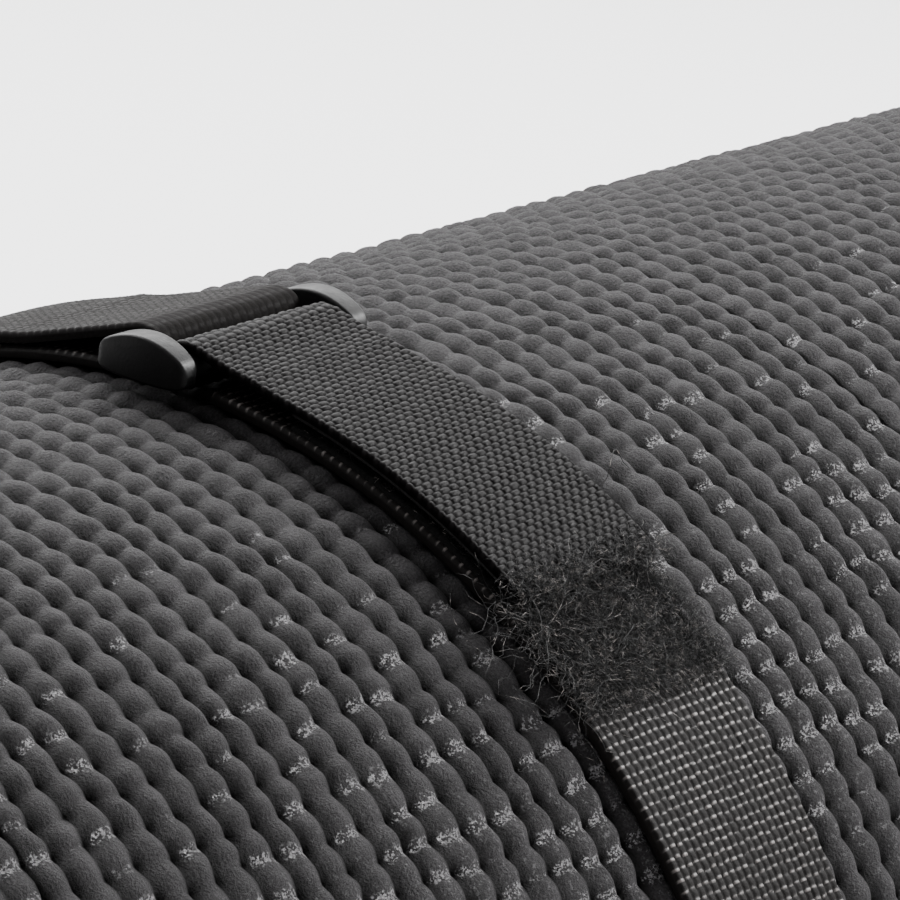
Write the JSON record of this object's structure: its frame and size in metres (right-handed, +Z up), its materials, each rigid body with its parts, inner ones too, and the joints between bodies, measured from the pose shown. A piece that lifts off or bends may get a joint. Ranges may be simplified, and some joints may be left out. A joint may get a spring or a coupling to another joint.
{
  "type": "roll-up exercise mat",
  "caption": "Long foam mat with a pebbled face, rolled up and held by webbing straps, each passed through a plastic ring and closed on itself by a hook pad and a loop patch.",
  "frame": {"origin": "on the flattened underside of the roll, at mid length, straight below the centre of the upper turns", "axes": "+X along the roll, +Z up, the straps' tails close towards -Y"},
  "size_m": [0.61, 0.1866, 0.1792],
  "materials": {
    "foam": "matte closed-cell PVC foam with a pebbled skin",
    "scrim": "woven polyester scrim",
    "webbing": "plain-woven polypropylene webbing",
    "tape": "fine-woven nylon back of hook tape",
    "hook_tape": "nylon hooks",
    "loop_pile": "brushed nylon loops",
    "thread": "polyester sewing thread",
    "ring_plastic": "satin moulded acetal"
  },
  "bodies": {
    "mat": {"face_foam": "foam", "scrim": "scrim", "back_foam": "foam"},
    "left_strap": {"left_strap_band": "webbing", "left_strap_lap": "webbing", "left_lap_stitching": "thread", "left_loop_patch": "loop_pile"},
    "left_ring": {"left_ring": "ring_plastic"},
    "left_tail": {"left_tail_root": "tape", "left_hook_root": "hook_tape"},
    "left_tail_end": {"left_tail_tip": "tape", "left_hook_tip": "hook_tape"},
    "right_strap": {"right_strap_band": "webbing", "right_strap_lap": "webbing", "right_lap_stitching": "thread", "right_loop_patch": "loop_pile"},
    "right_ring": {"right_ring": "ring_plastic"},
    "right_tail": {"right_tail_root": "tape", "right_hook_root": "hook_tape"},
    "right_tail_end": {"right_tail_tip": "tape", "right_hook_tip": "hook_tape"}
  },
  "joints": [
    {"name": "left_strap_slide", "type": "slide", "parent": "mat", "child": "left_strap", "axis": [1, 0, 0], "range_m": [-0.015, 0.015]},
    {"name": "left_ring_swivel", "type": "hinge", "parent": "left_strap", "child": "left_ring", "pos_m": [-0.15, -0.00789, 0.17623], "axis": [-1, 0, 0], "range_deg": [0, 12]},
    {"name": "left_tail_peel", "type": "hinge", "parent": "left_ring", "child": "left_tail", "pos_m": [-0.15, -0.01534, 0.17531], "axis": [-1, 0, 0], "range_deg": [0, 115]},
    {"name": "left_tail_flex", "type": "hinge", "parent": "left_tail", "child": "left_tail_end", "pos_m": [-0.15, -0.04239, 0.16809], "axis": [-1, 0, 0], "range_deg": [0, 45]},
    {"name": "right_strap_slide", "type": "slide", "parent": "mat", "child": "right_strap", "axis": [1, 0, 0], "range_m": [-0.015, 0.015]},
    {"name": "right_ring_swivel", "type": "hinge", "parent": "right_strap", "child": "right_ring", "pos_m": [0.15, -0.00789, 0.17623], "axis": [-1, 0, 0], "range_deg": [0, 12]},
    {"name": "right_tail_peel", "type": "hinge", "parent": "right_ring", "child": "right_tail", "pos_m": [0.15, -0.01534, 0.17531], "axis": [-1, 0, 0], "range_deg": [0, 115]},
    {"name": "right_tail_flex", "type": "hinge", "parent": "right_tail", "child": "right_tail_end", "pos_m": [0.15, -0.04239, 0.16809], "axis": [-1, 0, 0], "range_deg": [0, 45]}
  ]
}
